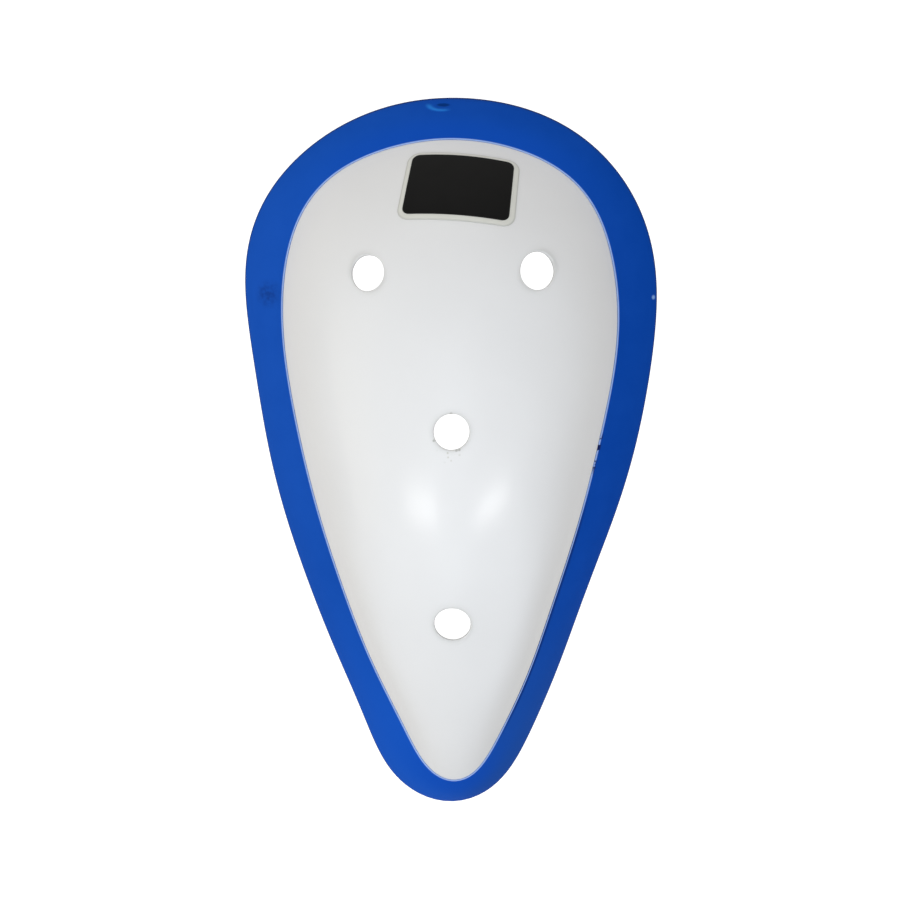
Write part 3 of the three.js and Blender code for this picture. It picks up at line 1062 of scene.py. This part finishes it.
def sticker_vinyl(name, first_code, second_code, edge_code, sheen):
    """Two close tones in fine clouds, another along the cut edge, and a tooth that shows only as a
    soft gloss."""
    material, tree, spot = new_material(name)
    cloud = clouds(tree, spot, STICKER_CLOUD_SIZE, 3.0)
    tones = {"data_type": "RGBA", 6: linear(first_code), 7: linear(second_code)}
    tone = add(tree, "Mix", tones, {0: cloud}).outputs[2]
    reach = add(tree, "Attribute", {"attribute_name": "badge_reach"}, {}).outputs["Fac"]
    # the edge tone: a thin darker line round the pale sheet, and a painted highlight round the black
    # field
    cut = fade(tree, reach, *CUT_EDGE)
    tone = painted(tree, tone, edge_code, cut)
    grain = clouds(tree, spot, TOOTH_SIZE, 2.0)
    tooth = raised(tree, grain, 0.15, TOOTH_DEPTH)
    gloss = add(tree, "MapRange", {"To Min": 0.40, "To Max": 0.50}, {"Value": cloud}).outputs["Result"]
    body = {"IOR": 1.52, "Specular IOR Level": sheen}
    feeds = {"Base Color": tone, "Roughness": gloss, "Normal": tooth}
    finish_with(tree, add(tree, "BsdfPrincipled", body, feeds))
    return material


dress(badge_backing, sticker_vinyl("sticker_vinyl_pale", "#dfdfd8", "#dadad2", "#c6c6c0", 0.4))
# the black field's paler edge tone is a painted highlight
dress(badge_panel, sticker_vinyl("sticker_vinyl_black", "#0a0a0a", "#060606", "#191918", 0.13))

# %% [markdown]
# ## The camera
#
# The photograph looks almost straight down on the guard, from a little towards its waist end,
# with a long lens. The lens is set so that the guard has its real scale in the picture, and the
# aim puts it where the picture has it.

# %% A long lens from above
PICTURE = 900
PIXELS_PER_MM = 3.907
CAMERA_DISTANCE = 0.9
CAMERA_LEAN = math.radians(7.5)
SEAM_MIDDLE_PIXEL = (450.6, 457.3)
SENSOR = 36.0

look_back = Vector((0, math.sin(CAMERA_LEAN), math.cos(CAMERA_LEAN)))
picture_up = Vector((0, math.cos(CAMERA_LEAN), -math.sin(CAMERA_LEAN)))
aside, below = ((pixel - PICTURE / 2) / PIXELS_PER_MM * MM for pixel in SEAM_MIDDLE_PIXEL)
aim = Vector((-aside, SEAM_Y, 0)) + picture_up * below
camera_data = bpy.data.cameras.new("studio_camera")
camera_data.sensor_width = SENSOR
camera_data.lens = SENSOR * PIXELS_PER_MM * CAMERA_DISTANCE / MM / PICTURE
camera = bpy.data.objects.new("studio_camera", camera_data)
bpy.context.scene.collection.objects.link(camera)
camera_axes = Matrix((Vector((1, 0, 0)), picture_up, look_back)).transposed()
camera.matrix_world = Matrix.Translation(aim + look_back * CAMERA_DISTANCE) @ camera_axes.to_4x4()
bpy.context.scene.camera = camera
print("lens:", round(camera_data.lens, 1), "mm")

# %% [markdown]
# ## Floor and light
#
# The guard lies on a white light table, so the vents show white. Two cool soft boxes hang
# overhead, a warmer one stands on the left, weaker ones light the waist and the tip, and two
# small ones make the pair of highlights on the crown. The table is hidden from bounced light, and
# the world, a little brighter from below, stands in for it.

# %% Light table
FLOOR_HALF = 3.0
FLOOR_DROP = 0.05 * MM
TABLE_GLOW = 1.05
FROST_SIZE = 400

floor_mesh = bpy.data.meshes.new("light_table")
corners = np.array([(-1, -1, 0), (1, -1, 0), (1, 1, 0), (-1, 1, 0)]) * FLOOR_HALF - [0, 0, FLOOR_DROP]
floor_mesh.from_pydata(corners.tolist(), [], [(0, 1, 2, 3)])
floor = bpy.data.objects.new("light_table", floor_mesh)
bpy.context.scene.collection.objects.link(floor)
floor.visible_diffuse = False
floor.visible_glossy = False
table_material, table_tree, table_spot = new_material("frosted_acrylic_light_table")
frost = clouds(table_tree, table_spot, FROST_SIZE, 2.0)
greys = {"data_type": "RGBA", 6: linear("#9c9c9c"), 7: linear("#a0a0a0")}
milk = add(table_tree, "Mix", greys, {0: frost}).outputs[2]
table_shader = add(
    table_tree,
    "BsdfPrincipled",
    {
        "Roughness": 0.9,
        "Specular IOR Level": 0.0,
        "Emission Color": linear("#ffffff"),
        "Emission Strength": TABLE_GLOW,
    },
    {"Base Color": milk},
)
finish_with(table_tree, table_shader)
dress(floor, table_material)

# %% Soft boxes
LIGHT_TARGET = 20 * MM


def soft_box(name, direction, distance, width, height, turn, colour, watts):
    """A rectangular area light that faces the guard's middle, turned about its own axis."""
    data = bpy.data.lights.new(name, "AREA")
    data.shape = "RECTANGLE"
    data.size, data.size_y = width, height
    data.color = linear(colour)[:3]
    data.energy = watts
    light = bpy.data.objects.new(name, data)
    bpy.context.scene.collection.objects.link(light)
    towards = Vector(direction).normalized()
    level = Vector((0, 1, 0)).cross(towards).normalized()
    facing = Matrix((level, towards.cross(level), towards)).transposed()
    axes = facing @ Matrix.Rotation(math.radians(turn), 3, "Z")
    target = Vector((0, SEAM_Y, LIGHT_TARGET))
    light.matrix_world = Matrix.Translation(target + towards * distance) @ axes.to_4x4()


# name, direction, distance, width and height in metres, turn in degrees, colour, watts
LAMPS = [
    ("overhead_left", (-0.26, -0.22, 0.94), 0.45, 0.50, 0.50, 0, "#e7f2ff", 0.51),
    ("overhead_right", (0.26, -0.22, 0.94), 0.45, 0.50, 0.50, 0, "#e7f2ff", 0.49),
    ("left_box", (-0.87, 0.0, 0.5), 0.6, 0.40, 0.40, 0, "#fff7e2", 0.40),
    ("waist_box", (0.0, 0.97, 0.25), 0.6, 0.40, 0.40, 0, "#fffdf8", 0.21),
    ("tip_box", (0.65, -0.7, 0.3), 0.6, 0.40, 0.40, 0, "#f4faff", 0.15),
    ("left_highlight", (-0.29, -0.20, 0.93), 1.0, 0.26, 0.13, 0, "#ffffff", 0.76),
    ("right_highlight", (0.40, -0.20, 0.89), 1.0, 0.26, 0.06, 20, "#ffffff", 0.73),
]
for lamp in LAMPS:
    soft_box(*lamp)

# %% The world, brighter from the left and from below
FILL = 0.605
FILL_SLOPE = (-0.08, 0.05, -0.19)

world = bpy.data.worlds.new("studio_fill")
bpy.context.scene.world = world
world.use_nodes = True
background = world.node_tree.nodes["Background"]
background.inputs["Color"].default_value = linear("#fffdfa")
ray = add(world.node_tree, "TexCoord", {}, {}).outputs["Generated"]
leaning = {"operation": "DOT_PRODUCT", 1: FILL_SLOPE}
slope = add(world.node_tree, "VectorMath", leaning, {0: ray}).outputs["Value"]
fill = add(world.node_tree, "Math", {"operation": "ADD", 1: FILL}, {0: slope}).outputs[0]
world.node_tree.links.new(fill, background.inputs["Strength"])
print(len(LAMPS), "soft boxes and a fill of", FILL)
bpy.context.scene.view_settings.view_transform = "Standard"
# the steep wall would mirror the blue rim, which the photograph doesn't show
rim.visible_glossy = False
